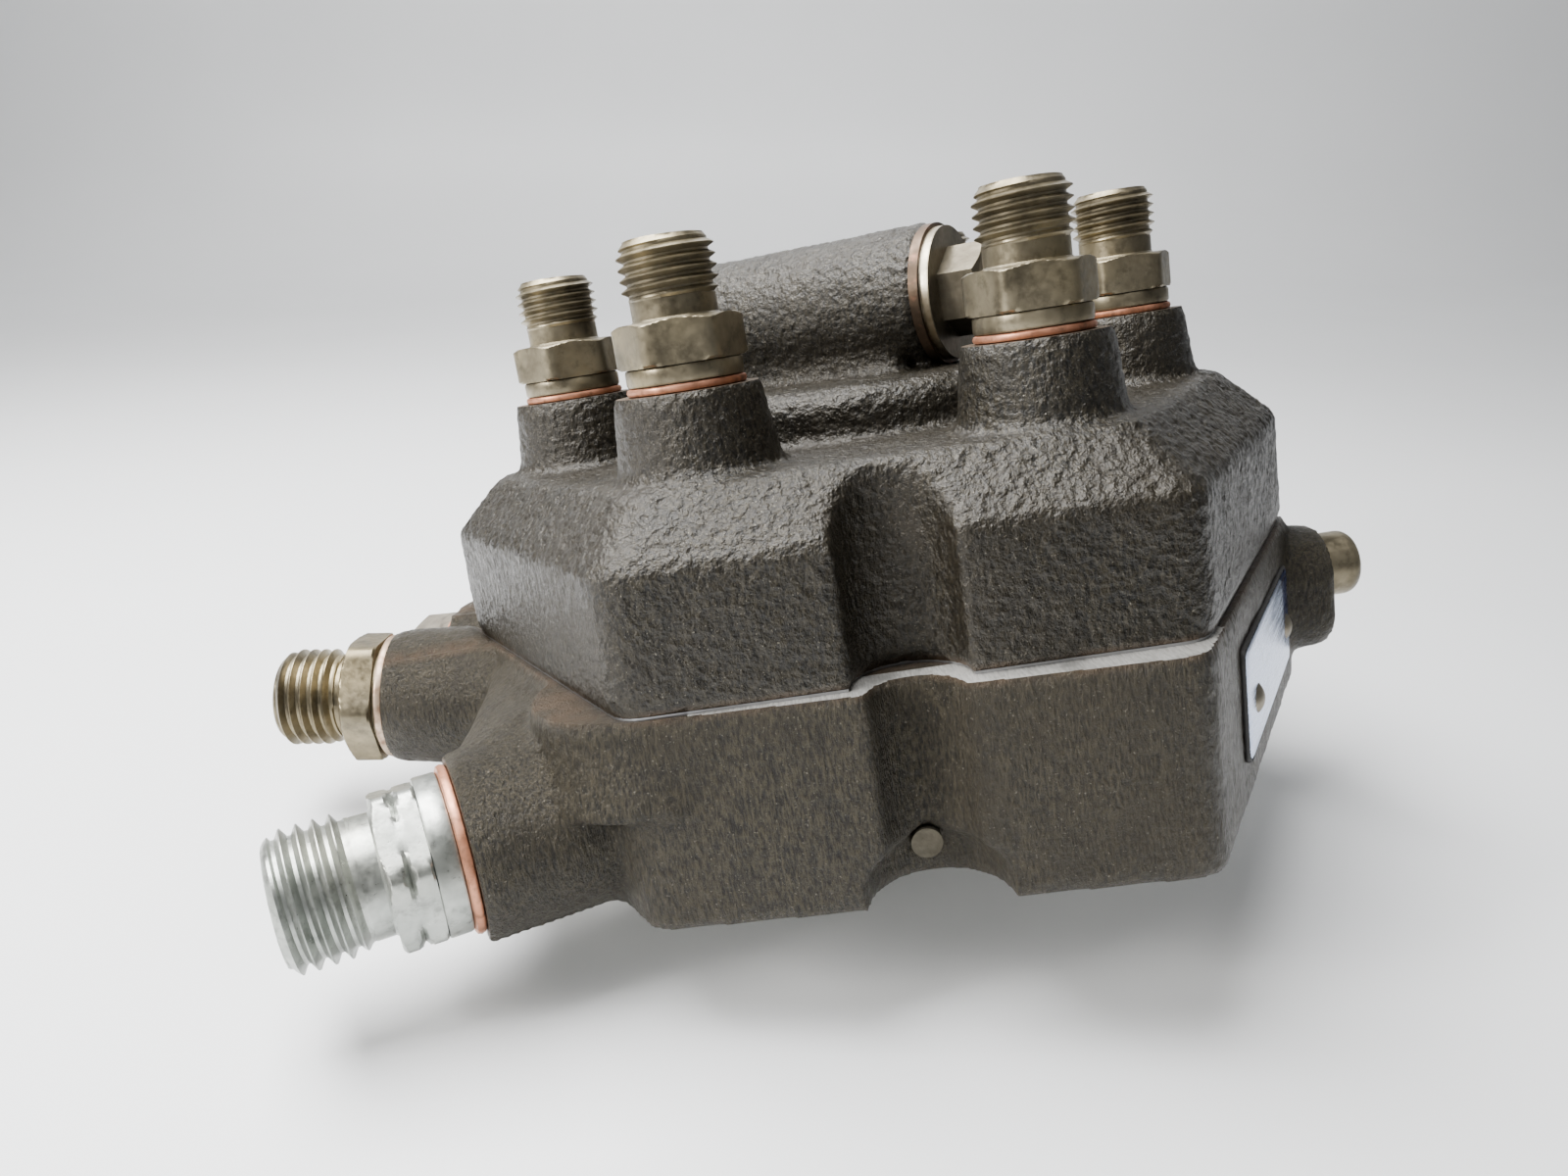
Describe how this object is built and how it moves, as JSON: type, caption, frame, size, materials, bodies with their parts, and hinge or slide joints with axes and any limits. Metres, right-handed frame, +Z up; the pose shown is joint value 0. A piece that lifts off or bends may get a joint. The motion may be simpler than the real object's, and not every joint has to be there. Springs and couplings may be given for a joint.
{
  "type": "fuel distributor",
  "caption": "Hexagonal cast-iron fuel distributor with a ring of threaded outlet fittings, a side inlet and a screwed-in pressure regulator on top.",
  "frame": {"origin": "centre of the lower mounting face on the metering axis", "axes": "+Z up along the outlet fittings, +X to the right of the front face, +Y away from the front face"},
  "size_m": [0.2042, 0.1437, 0.1031],
  "materials": {
    "cast_iron_lower": "rough cast",
    "cast_iron_upper": "rough cast",
    "spring_steel": "satin",
    "ground_steel": "ground",
    "seal_rubber": "matte",
    "copper": "aged copper",
    "zinc_clear": "zinc plated",
    "zinc_yellow": "worn yellow zinc",
    "zinc_dull": "dull plated",
    "brass_gauze": "satin",
    "black_screw": "black oxide",
    "plate_aluminium": "satin",
    "rivet_steel": "dull"
  },
  "bodies": {
    "housing": {"lower_housing": "cast_iron_lower", "upper_housing": "cast_iron_upper", "diaphragm": "spring_steel", "metering_barrel": "ground_steel", "barrel_seal_lower": "seal_rubber", "barrel_seal_upper": "seal_rubber", "valve_seats": "ground_steel", "valve_springs": "spring_steel", "spring_plates": "spring_steel", "outlet_washers": "copper", "inlet_fitting": "zinc_clear", "inlet_washer": "copper", "inlet_strainer": "brass_gauze", "control_fitting": "zinc_yellow", "control_washer": "copper", "test_stub": "zinc_yellow", "rear_plug": "zinc_dull", "rear_washer": "copper", "regulator_plug": "zinc_dull", "regulator_washer": "copper", "regulator_spring": "spring_steel", "regulator_shims": "spring_steel", "push_valve_spring": "spring_steel", "clamp_screws": "black_screw", "type_plate": "plate_aluminium", "plate_rivets": "rivet_steel", "seal_pin": "plate_aluminium", "outlet_fitting_1": "zinc_yellow", "outlet_fitting_2": "zinc_yellow", "outlet_fitting_3": "zinc_yellow", "outlet_fitting_4": "zinc_yellow", "outlet_fitting_5": "zinc_yellow", "outlet_fitting_6": "zinc_yellow"},
    "plunger": {"control_plunger": "ground_steel"},
    "piston": {"regulator_piston": "ground_steel", "regulator_seal": "seal_rubber"},
    "push_valve": {"push_valve": "ground_steel"}
  },
  "joints": [
    {"name": "plunger_slide", "type": "slide", "parent": "housing", "child": "plunger", "axis": [0, 0, 1], "range_m": [0, 0.01]},
    {"name": "regulator_slide", "type": "slide", "parent": "housing", "child": "piston", "axis": [0.866, -0.5, 0], "range_m": [0, 0.004], "stiffness_N_per_m": 9000, "springref_m": -0.004, "deforming": ["regulator_spring"]},
    {"name": "push_valve_slide", "type": "slide", "parent": "housing", "child": "push_valve", "axis": [0.866, -0.5, 0], "range_m": [0, 0.004], "deforming": ["push_valve_spring"]}
  ],
  "couplings": [
    {"joint": "push_valve_slide", "follows": "regulator_slide", "ratio": 1}
  ]
}
